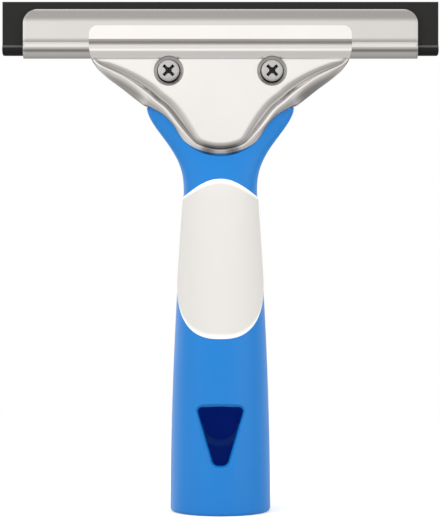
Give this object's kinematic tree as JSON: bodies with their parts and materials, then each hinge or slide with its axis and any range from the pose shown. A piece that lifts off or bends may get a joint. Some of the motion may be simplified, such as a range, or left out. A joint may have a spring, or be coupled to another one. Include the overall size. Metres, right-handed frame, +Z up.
{
  "type": "window squeegee",
  "caption": "Hand-held window squeegee: rubber blade in a folded steel channel, held by pressed steel jaws on a moulded handle with a soft grip and a pole socket.",
  "frame": {"origin": "centre of the handle's bottom rim, in the plane the handle stands on", "axes": "+Z runs up the handle to the blade, X runs along the blade, and the front with the screw heads faces -Y"},
  "size_m": [0.1524, 0.0348, 0.1779],
  "materials": {
    "handle": "satin moulded polypropylene, blue",
    "grip": "soft off-white elastomer, matt",
    "jaws": "pressed stainless sheet, satin",
    "channel": "folded stainless strip, brushed lengthwise",
    "blade": "black rubber, matt",
    "fasteners": "zinc-plated steel"
  },
  "bodies": {
    "handle": {"handle_body": "handle", "grip_sleeve": "grip", "back_jaw": "jaws", "nut_left": "fasteners", "nut_right": "fasteners"},
    "front_jaw": {"front_jaw": "jaws"},
    "screw_left": {"screw_left": "fasteners"},
    "screw_right": {"screw_right": "fasteners"},
    "channel": {"channel": "channel"},
    "rubber_blade": {"rubber_blade": "blade"}
  },
  "joints": [
    {"name": "front_jaw_slide", "type": "slide", "parent": "handle", "child": "front_jaw", "axis": [0, -1, 0], "range_m": [0, 0.0014]},
    {"name": "screw_left_turn", "type": "hinge", "parent": "front_jaw", "child": "screw_left", "pos_m": [-0.018, -0.0037, 0.1535], "axis": [0, -1, 0], "range_deg": [0, 720]},
    {"name": "screw_right_turn", "type": "hinge", "parent": "front_jaw", "child": "screw_right", "pos_m": [0.018, -0.0037, 0.1535], "axis": [0, -1, 0], "range_deg": [0, 720]},
    {"name": "channel_slide", "type": "slide", "parent": "handle", "child": "channel", "axis": [1, 0, 0], "range_m": [-0.11, 0.11]},
    {"name": "rubber_slide", "type": "slide", "parent": "channel", "child": "rubber_blade", "axis": [1, 0, 0], "range_m": [-0.14, 0.14]}
  ],
  "couplings": [
    {"joint": "screw_left_turn", "follows": "front_jaw_slide", "rad_per_m": 8976},
    {"joint": "screw_right_turn", "follows": "front_jaw_slide", "rad_per_m": 8976}
  ]
}
